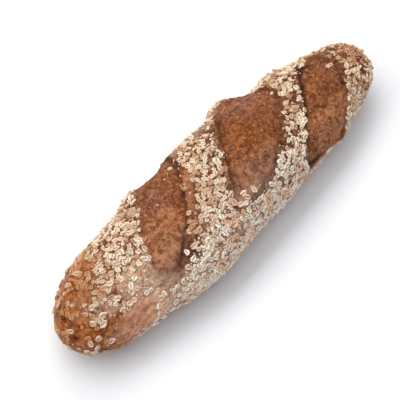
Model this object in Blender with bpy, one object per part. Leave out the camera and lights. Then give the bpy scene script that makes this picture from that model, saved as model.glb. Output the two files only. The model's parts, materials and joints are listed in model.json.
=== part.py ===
"""A half baguette: a short, whole wholegrain loaf with three open slashes and oat flakes baked on its crust.

The loaf lies along X on its flat base, which is at Z = 0. Its front is at -Y and its top at +Z.
A place on its skin is named by x, along the loaf, and by the turn, the degrees round it from the top:
0 is the top line, positive turns go down the front and negative turns go down the back.
"""

from collections import namedtuple

import bmesh
import bpy
import numpy as np
from mathutils import Matrix, Vector, noise

MM = 0.001

# The loaf before it is slashed
LENGTH = 250 * MM
CORE_HEIGHT = 21 * MM  # of the line that every section is drawn round
GIRTH_PER_DEGREE = 0.55 * MM  # how far one degree of turn takes a place along the skin
BASE_CUT = 4.5 * MM  # how much of the round underside the flat base takes off
TIP_LIFT = 6 * MM  # how much less the underside bulges at the tips, which rise clear of the table
LEFT_ROUNDING, RIGHT_ROUNDING = 48 * MM, 40 * MM  # how far back each tip starts to round off
TIP_BLUNTNESS = 2.2
TOP_BLUNTNESS, UNDER_BLUNTNESS = 2.15, 2.5  # 2 is an ellipse, and more is squarer
Station = namedtuple("Station", "x front back height")  # half widths to the front and to the back
STATIONS = [
    Station(-125 * MM, 27.8 * MM, 24.2 * MM, 42 * MM),
    Station(-85 * MM, 27.1 * MM, 28.0 * MM, 44 * MM),
    Station(-60 * MM, 30.6 * MM, 29.4 * MM, 46 * MM),
    Station(-35 * MM, 33.8 * MM, 32.4 * MM, 49 * MM),
    Station(-5 * MM, 32.5 * MM, 33.4 * MM, 50 * MM),
    Station(30 * MM, 31.0 * MM, 32.2 * MM, 49 * MM),
    Station(55 * MM, 29.3 * MM, 28.0 * MM, 47 * MM),
    Station(75 * MM, 27.8 * MM, 27.0 * MM, 44 * MM),
    Station(100 * MM, 23.0 * MM, 20.6 * MM, 40 * MM),
    Station(125 * MM, 25.4 * MM, 19.5 * MM, 37 * MM),
]

# The humps and hollows: where each is, how high it rises or how low it sinks, and how far it spreads
Hump = namedtuple("Hump", "x turn height spread")
HUMPS = [
    Hump(-44 * MM, -64, 3.0 * MM, 13 * MM),
    Hump(-24 * MM, -74, -5.0 * MM, 15 * MM),
    Hump(35 * MM, -66, 5.4 * MM, 16 * MM),
    Hump(56 * MM, -66, -2.8 * MM, 11 * MM),
    Hump(82 * MM, -54, -4.0 * MM, 14 * MM),
    Hump(73 * MM, 88, 2.2 * MM, 8 * MM),
]

# The slashes. The middle line of each runs to one side and back: run is how far, pivot is the turn where it
# crosses over, and sweep is how many degrees it takes. The flare is how much wider it is at the front. The
# last five are in millimetres: each drop is how deep the opened crumb lies at that edge, the swell is how much
# it bulges in the middle, and a lip is how far the crust stands up beside it.
Slash = namedtuple(
    "Slash", "x run pivot sweep back front half_width flare left_drop right_drop swell left_lip right_lip"
)
SLASHES = [
    Slash(-50 * MM, 45 * MM, 15, 107, -86, 45, 16.3 * MM, 0, 0.5, 2.6, 1.6, 0.2, 1.0),
    Slash(16 * MM, 26 * MM, 24, 44, -56, 47, 23.3 * MM, 0, 2.0, 1.8, 2.6, 0.6, 0.5),
    Slash(74 * MM, 17 * MM, 35, 41, -41, 91, 18.5 * MM, 0.4, 3.4, 1.4, 1.7, 1.2, 0.4),
]
SLASH_BLUNTNESS = 2.4  # how long a slash keeps its full width before it closes
SLASH_WALL = 1.8 * MM  # how wide the step is from the crust down to the opened crumb
LIP_REACH = 7 * MM
EDGE_WOBBLE = 1.3 * MM

# The cracks that tore open between two places on the skin
Crack = namedtuple("Crack", "start_x start_turn end_x end_turn depth")
CRACKS = [
    Crack(-86 * MM, 46, -62 * MM, 47, 1.0 * MM),
    Crack(50 * MM, -68, 55 * MM, -38, 1.8 * MM),
    Crack(63 * MM, 14, 83 * MM, 56, 0.9 * MM),
    Crack(77 * MM, -37, 91 * MM, -17, 2.0 * MM),
    Crack(-41 * MM, 20, -55 * MM, 42, 2.0 * MM),
]
CRACK_REACH = 1.9 * MM

# The unevenness of the whole loaf: the size of its lumps and their height
BROAD_LUMPS, BROAD_HEIGHT = 36 * MM, 1.1 * MM
SMALL_LUMPS, SMALL_HEIGHT = 12 * MM, 0.55 * MM

RINGS, RING_POINTS = 230, 160
SKIN_TRIANGLES = 4500

# The oat flakes
FLAKE_COUNT = 200
FLAKE_LENGTH, FLAKE_WIDTH = 5.0 * MM, 3.7 * MM
FLAKE_RISE, FLAKE_ROOT = 0.75 * MM, 0.9 * MM
FLAKE_SIDES = 6
FLAKE_SPACING = 5.9 * MM
FLAKE_TILT = 0.14
FLAKE_FLOOR = 6 * MM  # no flake sits lower than this
FLAKE_SEED = 7

# Where the flakes lie thinner, and the share of them that is missing there
ThinPatch = namedtuple("ThinPatch", "x turn spread share")
THIN_PATCHES = [
    ThinPatch(-57 * MM, 50, 9 * MM, 0.8),
    ThinPatch(-16 * MM, 64, 8 * MM, 0.8),
    ThinPatch(9 * MM, -54, 18 * MM, 0.75),
    ThinPatch(23 * MM, 64, 7 * MM, 0.7),
    ThinPatch(37 * MM, 31, 7 * MM, 0.8),
    ThinPatch(62 * MM, 2, 8 * MM, 0.7),
    ThinPatch(72 * MM, -44, 15 * MM, 0.6),
    ThinPatch(96 * MM, -28, 16 * MM, 0.8),
]

SHARP_EDGE = 0.6  # radians, above which an edge is drawn sharp
CRUST_BROWN = (0.27, 0.09, 0.035, 1.0)


def clear_scene():
    for obj in list(bpy.data.objects):
        bpy.data.objects.remove(obj)


def step_up(start, end, value):
    """0 before start and 1 after end, with a smooth rise between them."""
    share = np.clip((value - start) / (end - start), 0, 1)
    return share * share * (3 - 2 * share)


def along_stations(field, x):
    """One measure of the stations as a smooth curve along the loaf."""
    knots = np.array([station.x for station in STATIONS])
    values = np.array([getattr(station, field) for station in STATIONS])
    slopes = np.gradient(values, knots)
    i = np.clip(np.searchsorted(knots, x) - 1, 0, len(knots) - 2)
    gap = knots[i + 1] - knots[i]
    t = (x - knots[i]) / gap
    start = (2 * t**3 - 3 * t**2 + 1) * values[i] + (t**3 - 2 * t**2 + t) * gap * slopes[i]
    end = (3 * t**2 - 2 * t**3) * values[i + 1] + (t**3 - t**2) * gap * slopes[i + 1]
    return start + end


def tip_rounding(x):
    """1 along the middle of the loaf, falling to 0 at its two tips."""
    reach = np.where(x < 0, LEFT_ROUNDING, RIGHT_ROUNDING)
    near = 1 - np.clip((LENGTH / 2 - np.abs(x)) / reach, 0, 1)
    return (1 - near**TIP_BLUNTNESS) ** (1 / TIP_BLUNTNESS)


def plain_skin(x, turn):
    """The places of the unslashed loaf, with the underside still round."""
    sine, cosine = np.sin(np.radians(turn)), np.cos(np.radians(turn))
    bluntness = np.where(cosine > 0, TOP_BLUNTNESS, UNDER_BLUNTNESS)
    out = tip_rounding(x) * (np.abs(sine) ** bluntness + np.abs(cosine) ** bluntness) ** (-1 / bluntness)
    side = np.where(sine > 0, along_stations("front", x), along_stations("back", x))
    under = CORE_HEIGHT + BASE_CUT - TIP_LIFT * step_up(LENGTH / 4, LENGTH / 2, np.abs(x))
    rise = np.where(cosine > 0, along_stations("height", x) - CORE_HEIGHT, under)
    return np.stack([x, -side * out * sine, CORE_HEIGHT + rise * out * cosine], axis=-1)


def lumps(places, size):
    heights = np.array([noise.noise(Vector(place / size)) for place in places.reshape(-1, 3)])
    return heights.reshape(places.shape[:-1])


def slash_depth(slash, x, turn):
    """How far inside the slash's edge a place is, and how far across the slash: -1 is left and 1 is right."""
    middle = slash.x - slash.run * np.tanh((turn - slash.pivot) / slash.sweep)
    along = (2 * turn - slash.back - slash.front) / (slash.front - slash.back)
    half_width = slash.half_width * (1 + slash.flare * np.clip(along, -1, 1))
    across = (x - middle) / half_width
    reach = (np.abs(along) ** SLASH_BLUNTNESS + np.abs(across) ** SLASH_BLUNTNESS) ** (1 / SLASH_BLUNTNESS)
    return (1 - reach) * half_width, np.clip(across, -1, 1)


def slash_relief(slash, x, turn, wobble):
    inside, across = slash_depth(slash, x, turn)
    inside = inside + wobble
    left, right = (1 - across) / 2, (1 + across) / 2
    crumb = slash.swell * (1 - across**2) - slash.left_drop * left**2 - slash.right_drop * right**2
    lip = slash.left_lip * left + slash.right_lip * right
    outside = np.clip(-inside / LIP_REACH, 0, 1)
    opened = step_up(-SLASH_WALL / 2, SLASH_WALL / 2, inside)
    return (opened * crumb + (1 - opened) * lip * (1 - outside) ** 2) * MM


def near_patch(patch, x, turn):
    """1 at the middle of the patch or hump, fading to 0 at its rim."""
    return step_up(-1, 0, -np.hypot(x - patch.x, (turn - patch.turn) * GIRTH_PER_DEGREE) / patch.spread)


def hump_relief(hump, x, turn):
    return hump.height * near_patch(hump, x, turn)


def crack_relief(crack, x, turn):
    """A groove along the line between the crack's two ends."""
    line = np.array([crack.end_x - crack.start_x, (crack.end_turn - crack.start_turn) * GIRTH_PER_DEGREE])
    dx, dt = x - crack.start_x, (turn - crack.start_turn) * GIRTH_PER_DEGREE
    share = np.clip((dx * line[0] + dt * line[1]) / (line @ line), 0, 1)
    away = np.hypot(dx - share * line[0], dt - share * line[1])
    return -crack.depth * (4 * share * (1 - share)) ** 0.4 * np.clip(1 - away / CRACK_REACH, 0, 1)


def skin_places():
    """The grid of the slashed loaf's skin, ring by ring from the left tip to the right one."""
    x = -LENGTH / 2 * np.cos(np.pi * np.arange(1, RINGS) / RINGS)
    x, turn = np.meshgrid(x, np.linspace(-180, 180, RING_POINTS, endpoint=False), indexing="ij")
    places = plain_skin(x, turn)
    outward = np.cross(np.roll(places, -1, 1) - np.roll(places, 1, 1), np.gradient(places, axis=0))
    outward /= np.linalg.norm(outward, axis=-1, keepdims=True)
    relief = BROAD_HEIGHT * lumps(places, BROAD_LUMPS) + SMALL_HEIGHT * lumps(places, SMALL_LUMPS)
    wobble = EDGE_WOBBLE * lumps(places + LENGTH, SMALL_LUMPS)
    for slash in SLASHES:
        relief += slash_relief(slash, x, turn, wobble)
    for hump in HUMPS:
        relief += hump_relief(hump, x, turn)
    for crack in CRACKS:
        relief += crack_relief(crack, x, turn)
    return places + outward * (relief * tip_rounding(x) ** 0.5)[..., None], x, turn, outward


def mesh_object(name, points, faces):
    mesh = bpy.data.meshes.new(name)
    mesh.from_pydata([tuple(point) for point in points], [], faces)
    obj = bpy.data.objects.new(name, mesh)
    bpy.context.scene.collection.objects.link(obj)
    return obj


def keep_only(obj, mesh):
    """Gives the object this finished mesh and takes its modifiers away."""
    obj.modifiers.clear()
    obj.data = mesh


def evaluated_mesh(obj):
    graph = bpy.context.evaluated_depsgraph_get()
    return bpy.data.meshes.new_from_object(obj.evaluated_get(graph))


def make_skin(places):
    rings, count = places.shape[:2]
    points = list(places.reshape(-1, 3))
    tips = [Vector((-LENGTH / 2, 0, CORE_HEIGHT)), Vector((LENGTH / 2, 0, CORE_HEIGHT))]
    left_tip, right_tip = len(points), len(points) + 1
    faces = []
    for ring in range(rings - 1):
        for i in range(count):
            j = (i + 1) % count
            faces.append((ring * count + i, ring * count + j, (ring + 1) * count + j, (ring + 1) * count + i))
    for i in range(count):
        j = (i + 1) % count
        faces.append((left_tip, j, i))
        faces.append((right_tip, (rings - 1) * count + i, (rings - 1) * count + j))
    loaf = mesh_object("loaf", points + tips, faces)
    thin = loaf.modifiers.new("fewer faces", "DECIMATE")
    thin.ratio = SKIN_TRIANGLES / (2 * rings * count)
    keep_only(loaf, evaluated_mesh(loaf))
    return loaf


def cut_base(loaf):
    """Takes off everything under Z = 0 and closes the loaf with one flat face."""
    bm = bmesh.new()
    bm.from_mesh(loaf.data)
    everything = bm.verts[:] + bm.edges[:] + bm.faces[:]
    cut = bmesh.ops.bisect_plane(
        bm, geom=everything, plane_co=(0, 0, 0), plane_no=(0, 0, -1), clear_outer=True, dist=0.02 * MM
    )
    rim = [item for item in cut["geom_cut"] if isinstance(item, bmesh.types.BMEdge)]
    for item in cut["geom_cut"]:
        if isinstance(item, bmesh.types.BMVert):
            item.co.z = 0
    bmesh.ops.contextual_create(bm, geom=rim)
    bmesh.ops.triangulate(bm, faces=[face for face in bm.faces if len(face.verts) > 4])
    bmesh.ops.recalc_face_normals(bm, faces=bm.faces[:])
    bm.to_mesh(loaf.data)
    bm.free()


def flake_share(x, turn):
    """How thickly the flakes lie at a place, from 0 to 1."""
    share = np.ones_like(x)
    for slash in SLASHES:
        share *= 1 - step_up(-3.2 * MM, -0.8 * MM, slash_depth(slash, x, turn)[0])
    inside, across = slash_depth(SLASHES[0], x, turn)
    bare_lip = (across > 0) * step_up(-7 * MM, -5.5 * MM, inside)
    bare_lip = bare_lip * step_up(-32, -18, turn) * step_up(-38, -26, -turn)
    bare_strip = step_up(-112 * MM, -102 * MM, x) * step_up(75 * MM, 83 * MM, -x)
    bare_strip = bare_strip * step_up(40, 50, turn) * step_up(-100, -88, -turn)
    share *= (1 - 0.9 * bare_lip) * (1 - bare_strip)
    left_tip = step_up(92 * MM, 112 * MM, -x)
    floured_band = step_up(58 * MM, 66 * MM, -x) * step_up(8, 24, turn)
    share *= (1 - 0.5 * left_tip) * (1 - 0.55 * floured_band)
    for patch in THIN_PATCHES:
        share *= 1 - patch.share * near_patch(patch, x, turn)
    return share * step_up(-122, -104, -np.abs(turn))


def flake_places(places, x, turn, outward):
    """Chooses the flakes' places one by one, each where flakes lie and clear of the ones before it."""
    rng = np.random.default_rng(FLAKE_SEED)
    sides = np.roll(places, -1, 1) - places
    steps = np.gradient(places, axis=0)
    area = np.linalg.norm(np.cross(sides, steps), axis=-1)
    weight = (area * flake_share(x, turn) * (places[..., 2] > FLAKE_FLOOR)).ravel()
    order = rng.choice(weight.size, size=6000, replace=False, p=weight / weight.sum())
    chosen = []
    spots, normals = places.reshape(-1, 3), outward.reshape(-1, 3)
    for i in order:
        if len(chosen) == FLAKE_COUNT:
            break
        if all(np.linalg.norm(spots[i] - spots[j]) > FLAKE_SPACING for j in chosen):
            chosen.append(i)
    return [(Vector(spots[i]), Vector(normals[i])) for i in chosen], rng


def make_flake(name, place, outward, rng):
    """A low plate with sloping sides, rooted in the crust."""
    size = rng.uniform(0.72, 1.12)
    lean = Vector(rng.uniform(-FLAKE_TILT, FLAKE_TILT, 3))
    facing = (outward + lean).normalized().to_track_quat("Z", "Y").to_matrix().to_4x4()
    facing = Matrix.Translation(place) @ facing
    facing = facing @ Matrix.Rotation(rng.uniform(0, 2 * np.pi), 4, "Z")
    rings = []
    for height, spread in ((-FLAKE_ROOT, 1.15), (FLAKE_RISE, 0.78)):
        for side in range(FLAKE_SIDES):
            angle = 2 * np.pi * side / FLAKE_SIDES
            across = Vector((FLAKE_LENGTH * np.cos(angle), FLAKE_WIDTH * np.sin(angle), 0))
            rings.append(facing @ (across * (spread * size / 2) + Vector((0, 0, height))))
    n = FLAKE_SIDES
    faces = [tuple(range(n))[::-1], tuple(range(n, 2 * n))]
    faces += [(i, (i + 1) % n, n + (i + 1) % n, n + i) for i in range(n)]
    return mesh_object(name, rings, faces)


def fuse_flakes(loaf, placed, rng):
    """Joins all the flakes to the loaf in one union, and then removes the loose ones."""
    flakes = bpy.data.collections.new("flakes")
    bpy.context.scene.collection.children.link(flakes)
    for number, (place, outward) in enumerate(placed):
        flake = make_flake(f"flake_{number}", place, outward, rng)
        bpy.context.scene.collection.objects.unlink(flake)
        flakes.objects.link(flake)
    join = loaf.modifiers.new("flakes", "BOOLEAN")
    join.operation = "UNION"
    join.operand_type = "COLLECTION"
    join.collection = flakes
    join.solver = "EXACT"
    keep_only(loaf, evaluated_mesh(loaf))
    for flake in list(flakes.objects):
        bpy.data.objects.remove(flake)
    bpy.data.collections.remove(flakes)


def make_crust():
    crust = bpy.data.materials.new("browned_crust")
    crust.use_nodes = True
    shader = crust.node_tree.nodes["Principled BSDF"]
    shader.inputs["Base Color"].default_value = CRUST_BROWN
    shader.inputs["Roughness"].default_value = 0.7
    return crust


def make_loaf():
    places, x, turn, outward = skin_places()
    loaf = make_skin(places)
    cut_base(loaf)
    fuse_flakes(loaf, *flake_places(places, x, turn, outward))
    loaf.data.materials.clear()
    loaf.data.materials.append(make_crust())
    loaf.data.shade_smooth()
    loaf.data.set_sharp_from_angle(angle=SHARP_EDGE)


clear_scene()
make_loaf()
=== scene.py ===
"""The looks of a half baguette: a short, whole wholegrain loaf with three open slashes and oat flakes.

The crust takes its form from the same named sizes as the solid. A place on it is named by x, along the
loaf, and by the turn, the degrees round it from the top: positive turns go down the front and negative the
back.
"""

import math
from collections import namedtuple

import bpy
import numpy as np
from mathutils import Matrix, Vector, noise
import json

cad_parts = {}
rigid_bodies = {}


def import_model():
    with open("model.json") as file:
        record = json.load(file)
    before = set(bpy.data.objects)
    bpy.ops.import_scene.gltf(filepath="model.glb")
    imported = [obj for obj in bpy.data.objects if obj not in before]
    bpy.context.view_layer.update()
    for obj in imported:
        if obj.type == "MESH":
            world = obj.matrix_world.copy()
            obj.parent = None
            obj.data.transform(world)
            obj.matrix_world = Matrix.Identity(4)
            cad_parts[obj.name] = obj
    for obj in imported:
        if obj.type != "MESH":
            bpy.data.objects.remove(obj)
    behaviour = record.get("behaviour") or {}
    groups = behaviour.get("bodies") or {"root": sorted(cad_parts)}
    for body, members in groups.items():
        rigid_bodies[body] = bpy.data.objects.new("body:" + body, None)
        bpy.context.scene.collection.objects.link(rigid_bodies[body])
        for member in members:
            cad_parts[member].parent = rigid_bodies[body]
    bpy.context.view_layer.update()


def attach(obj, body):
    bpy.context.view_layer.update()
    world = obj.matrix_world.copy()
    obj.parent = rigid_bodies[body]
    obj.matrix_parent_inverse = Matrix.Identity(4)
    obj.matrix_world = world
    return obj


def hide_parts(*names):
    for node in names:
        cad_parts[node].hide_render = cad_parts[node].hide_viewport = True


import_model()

MM = 0.001


def mm(*sizes):
    """Sizes in millimetres, as metres."""
    return tuple(size * MM for size in sizes)


# The loaf before it is slashed
LENGTH = 250 * MM
CORE_HEIGHT = 21 * MM  # of the line that every section is drawn round
GIRTH_PER_DEGREE = 0.55 * MM  # how far one degree of turn takes a place along the skin
BASE_CUT = 4.5 * MM  # how much of the round underside the flat base takes off
TIP_LIFT = 6 * MM  # how much less the underside bulges at the tips, which rise clear of the table
LEFT_ROUNDING, RIGHT_ROUNDING = 48 * MM, 40 * MM  # how far back each tip starts to round off
TIP_BLUNTNESS = 2.2
TOP_BLUNTNESS, UNDER_BLUNTNESS = 2.15, 2.5  # 2 is an ellipse, and more is squarer
Station = namedtuple("Station", "x front back height")  # half widths to the front and to the back
STATIONS = [
    Station(*mm(-125, 27.8, 24.2, 42)),
    Station(*mm(-85, 27.1, 28.0, 44)),
    Station(*mm(-60, 30.6, 29.4, 46)),
    Station(*mm(-35, 33.8, 32.4, 49)),
    Station(*mm(-5, 32.5, 33.4, 50)),
    Station(*mm(30, 31.0, 32.2, 49)),
    Station(*mm(55, 29.3, 28.0, 47)),
    Station(*mm(75, 27.8, 27.0, 44)),
    Station(*mm(100, 23.0, 20.6, 40)),
    Station(*mm(125, 25.4, 19.5, 37)),
]

# The humps and hollows: where each is, how high it rises or how low it sinks, and how far it spreads
Hump = namedtuple("Hump", "x turn height spread")
HUMPS = [
    Hump(-44 * MM, -64, 3.0 * MM, 13 * MM),
    Hump(-24 * MM, -74, -5.0 * MM, 15 * MM),
    Hump(35 * MM, -66, 5.4 * MM, 16 * MM),
    Hump(56 * MM, -66, -2.8 * MM, 11 * MM),
    Hump(82 * MM, -54, -4.0 * MM, 14 * MM),
    Hump(73 * MM, 88, 2.2 * MM, 8 * MM),
]

# The slashes. The middle line of each runs aslant: run is how far, pivot is the turn where it crosses over,
# and sweep is how many degrees it takes. Back and front are the turns of its two ends, and the flare is how
# much wider it is at the front. Each drop is how deep the opened crumb lies at that edge, the swell is how
# much it bulges in the middle, and a lip is how far the crust stands up beside it.
Slash = namedtuple(
    "Slash", "x run pivot sweep back front half_width flare left_drop right_drop swell left_lip right_lip"
)
FIRST_SLASH = Slash(*mm(-50, 45), 15, 107, -86, 45, 16.3 * MM, 0, *mm(0.5, 2.6, 1.6, 0.2, 1.0))
SECOND_SLASH = Slash(*mm(16, 26), 24, 44, -56, 47, 23.3 * MM, 0, *mm(2.0, 1.8, 2.6, 0.6, 0.5))
THIRD_SLASH = Slash(*mm(74, 17), 35, 41, -41, 91, 18.5 * MM, 0.4, *mm(3.4, 1.4, 1.7, 1.2, 0.4))
SLASHES = [FIRST_SLASH, SECOND_SLASH, THIRD_SLASH]
SLASH_BLUNTNESS = 2.4  # how long a slash keeps its full width before it closes
SLASH_WALL = 1.8 * MM  # how wide the step is from the crust down to the opened crumb
LIP_REACH = 7 * MM
EDGE_WOBBLE = 1.3 * MM  # how far a slash's edge wanders
EDGE_FRAY, FRAY_SIZE = 1.6 * MM, 4.5 * MM  # how ragged it is to the eye, in frays of this size

# The cracks that tore open between two places on the skin
Crack = namedtuple("Crack", "start_x start_turn end_x end_turn depth")
TOP_CRACK = Crack(77 * MM, -37, 91 * MM, -17, 2.0 * MM)  # at the top of the third slash
CRACKS = [
    Crack(-86 * MM, 46, -62 * MM, 47, 1.0 * MM),
    Crack(50 * MM, -68, 55 * MM, -38, 1.8 * MM),
    Crack(63 * MM, 14, 83 * MM, 56, 0.9 * MM),
    TOP_CRACK,
    Crack(-41 * MM, 20, -55 * MM, 42, 2.0 * MM),
]
CRACK_REACH = 1.9 * MM
CRACK_TAPER = 0.4  # less keeps a crack deeper towards its ends
CRACK_FRAY = 1.5 * MM  # how ragged a crack is to the eye

# The unevenness of the whole loaf: the size of its lumps and their height
BROAD_LUMPS, BROAD_HEIGHT = 36 * MM, 1.1 * MM
SMALL_LUMPS, SMALL_HEIGHT = 12 * MM, 0.55 * MM
RELIEF_FADE = 0.5  # less keeps the relief higher towards the tips

# The skin is worked out twice: coarsely to choose the large flakes' places, as in the solid, and finely to
# be seen. Each time it is cut into this many lengths along the loaf and points round it.
COARSE_SKIN = (230, 160)
FINE_SKIN = (400, 232)

# The oat flakes, and the broken bits between them
LARGE_FLAKES = 200
FLAKE_SIZE = mm(5.0, 3.7, 0.8)  # length, width and thickness
CRUMB_SIZE = mm(2.0, 1.4, 0.4)
FLAKE_SPACING = 5.9 * MM
FLAKE_FLOOR = 6 * MM  # no flake sits lower than this
FLAKE_SEED = 7
FLAKE_DRAWS = 6000  # places tried, one after another

# A soft zone of the loaf has four bounds along x, and four more by turn, where it begins, is full, starts
# to fade and is gone. A soft patch is round and fades from its middle. The amount of either is how much it
# lays on a place, or how much it takes away.
Zone = namedtuple("Zone", "x turn amount")
Patch = namedtuple("Patch", "x turn spread amount")
FAR = 1000  # past every place on the loaf, in millimetres and in degrees
ANYWHERE = (-FAR - 1, -FAR, FAR, FAR + 1)


def up_to(full, gone):
    """The bounds of a zone that takes in everything before it."""
    return (-FAR - 1, -FAR, full, gone)


def onwards(begins, full):
    """The bounds of a zone that takes in everything after it."""
    return (begins, full, FAR, FAR + 1)


def soft_zone(x, turn, amount=1):
    """A zone whose bounds along x are given in millimetres."""
    return Zone(mm(*x), turn, amount)


def soft_patch(x, turn, spread, amount):
    """A patch whose place along x and spread are given in millimetres."""
    return Patch(x * MM, turn, spread * MM, amount)


BARE_STRIP = soft_zone((-112, -102, -83, -75), (40, 50, 88, 100))  # of smooth crust low on the left end
SMOOTH_STRIP = soft_zone((-120, -96, -80, -64), (34, 56, 84, 108))  # the same, with its softer edges
OATY_TIP = soft_zone((-112, -107, -96, -91), (-4, 8, 30, 42))  # where oats stuck to the dark left tip
RIM_BEHIND_CRACK = soft_zone((70, 74, 88, 92), onwards(-60, -46))  # crust that stayed behind the top crack
RIM_BEGINS, RIM_IS_FULL = 1, 5  # degrees behind the crack

# Bands along the right edge of the first slash, bounded by how far inside the edge they lie and by turn
EdgeBand = namedtuple("EdgeBand", "inside turn")
RIGHT_HALF = EdgeBand(mm(*onwards(-7, -5.5)), (-32, -18, 26, 38))  # of the slash, with its lip
BARE_LIP = EdgeBand(mm(-7, -5.5, -0.5, 0.5), (-32, -18, 26, 38))  # smooth brown crust that stands up
OAT_ROW = EdgeBand(mm(-3.9, -3.2, -1.2, -0.5), (-14, -8, 22, 28))  # a row of oats that held on to the rim
BEHIND_ROW = EdgeBand(mm(-7.4, -6.8, -4.4, -3.8), (-20, -12, 20, 28))  # where most oats came off

# Where the flakes lie thinner, and the share of them that is missing there
FLAKES_END = mm(-3.2, -0.8)  # how far inside a slash's edge, or outside it below 0, they thin out to none
FLAKE_TURNS = (-122, -104, 104, 122)  # none lie on the underside
FLAKES_OFF_RIGHT_HALF = 0.9
FLAKES_OFF = [
    BARE_STRIP,
    soft_zone(up_to(-112, -92), ANYWHERE, 0.5),
    soft_zone(up_to(-66, -58), onwards(8, 24), 0.55),
]
THIN_PATCHES = [
    soft_patch(-57, 50, 9, 0.8),
    soft_patch(-16, 64, 8, 0.8),
    soft_patch(9, -54, 18, 0.75),
    soft_patch(23, 64, 7, 0.7),
    soft_patch(37, 31, 7, 0.8),
    soft_patch(62, 2, 8, 0.7),
    soft_patch(72, -44, 15, 0.6),
    soft_patch(96, -28, 16, 0.8),
]

# Where the smaller oats alone lie: how far they stray past the flakes' end and how unevenly, how thickly
# they lie where large flakes hardly do, and the places where they thin out. In the last patches they thin
# out where the amount is below 0, and gather where it is above.
STRAY, UNEVEN_STRAY = 0.4 * MM, 4 * MM
SMALL_OATS_ON_LIP, SMALL_OATS_ON_RIM, SMALL_OATS_ON_TIP = 0.2, 0.7, 0.55
SMALL_OATS_IN_SLASH = soft_zone((-16, -10, 4, 10), (31, 36, 50, 55), 0.2)
SMALL_OATS_OFF_BEHIND_ROW = 0.95
SMALL_OATS_OFF = [
    soft_zone(up_to(-98, -84), up_to(30, 60), 0.4),
    soft_zone(up_to(-104, -90), up_to(-40, -20), 0.4),
    soft_zone(onwards(92, 108), ANYWHERE, 0.3),
]
TORN_LIP = soft_patch(-48, 36, 12, 0.9)  # low on the right lip of the first slash
OAT_PATCHES = [
    soft_patch(-115, 32, 5, -0.8),
    soft_patch(-106, 56, 4, 0.5),
    soft_patch(-104, -40, 8, -0.5),
    soft_patch(-100, 36, 5, 0.9),
    soft_patch(-62, -37, 6, -0.6),
    soft_patch(-38, 25, 4, 0.9),
    soft_patch(-13, -42, 5, 0.8),
    soft_patch(-18, 60, 7, -0.95),
    soft_patch(0, -9, 5, -0.7),
    soft_patch(17, -64, 10, -0.9),
    soft_patch(70, -10, 7, -0.7),
    soft_patch(83, -66, 9, -0.8),
    soft_patch(97, -3, 6, 0.9),
]
STRAY_FLAKES, STRAY_TURN = 0.007, 100  # a few in the slashes, down to this turn

# Where the flour lies on the crust, where it is missing, and where it lies in the slashes
FLOURED = [
    soft_zone(ANYWHERE, ANYWHERE, 0.10),
    soft_zone(ANYWHERE, (35, 60, 120, 145), 0.25),
    soft_zone(ANYWHERE, (-145, -120, -60, -35), 0.25),
    soft_zone((-57, -45, 12, 24), (8, 22, 60, 74), 0.15),
    soft_zone((-94, -86, -64, -56), (-2, 14, 42, 58), 0.48),
    soft_zone((-78, -68, -46, -36), (50, 60, 100, 110), 0.25),
]
FLOUR_OFF = [
    soft_zone(up_to(-104, -88), ANYWHERE, 0.95),
    soft_zone(onwards(92, 112), ANYWHERE, 0.5),
]
FLOUR_ON_OATY_TIP, FLOUR_OFF_STRIP = 0.35, 0.8
FLOURED_SLASHES = [
    soft_zone((-83, -75, 30, 38), (4, 26, 60, 82), 0.28),
    soft_zone((-83, -75, 30, 38), (40, 52, 60, 82), 0.16),
]
FLOUR_OFF_SLASHES = [
    soft_zone(up_to(-40, -20), ANYWHERE, 0.4),
    soft_zone(onwards(-10, 0), (6, 14, 34, 42), 0.35),
]
FLOURED_SLASH_END = soft_zone((-20, -12, 6, 14), onwards(30, 42), 0.2)

# How hard the oven caught the loaf. It browned the left tip most, and the back of that tip further along
# and harder, by these amounts over these turns.
BROWNED_LEFT = mm(*up_to(-106, -82))
BROWNED_FURTHER, FURTHER_TURNS = 10 * MM, up_to(-50, 10)
BROWNED_HARDER, HARDER_TURNS = 0.5, up_to(0, 25)
TOASTED = [
    soft_zone(onwards(84, 112), ANYWHERE, 0.5),
    soft_zone(ANYWHERE, (-100, -60, 10, 50), 0.12),
]
TOASTED_RIGHT_HALF = 0.6
OATY_TIP_PALER = 0.6
MOST_TOAST = 1.5

# How pale and floury the flakes are: most along the low front, where they lay in the flour
PALE_FLAKES = [
    soft_zone(ANYWHERE, ANYWHERE, 0.3),
    soft_zone(ANYWHERE, onwards(5, 45), 0.7),
    soft_zone(ANYWHERE, up_to(-60, -10), -0.2),
]
LESS_PALE = [
    soft_zone(onwards(20, 50), ANYWHERE, 0.45),
    soft_zone(onwards(80, 104), ANYWHERE, 0.7),
]
LESS_PALE_RIGHT_HALF = 0.6

# Where the crumb baked darker and richer than around it, or paler and greyer, where the amount is below 0.
# The darkest patch, on the right of the first slash, is painted shade where the crumb slopes away from the
# light, and the grey patch on the second slash's top shoulder is partly a painted reflection
BAKE_AND_SHADE_PATCHES = [
    # Painted shade on the right of the first slash, where the crumb slopes away from the light
    soft_patch(-30, 12, 15, 1.3),
    soft_patch(-24, -22, 14, 0.4),
    soft_patch(-40, -26, 16, -0.7),
    soft_patch(-58, 36, 16, -0.8),
    soft_patch(22, -6, 24, 0.6),
    soft_patch(32, 8, 14, 0.5),
    # Partly a painted reflection of the sky, greyer and duller, on the second slash's top shoulder
    soft_patch(38, -44, 20, -1.4),
    soft_patch(12, 34, 16, -0.5),
    soft_patch(78, 6, 18, 0.4),
    soft_patch(74, 62, 20, -0.2),
    soft_patch(72, -26, 12, -0.5),
]

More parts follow.
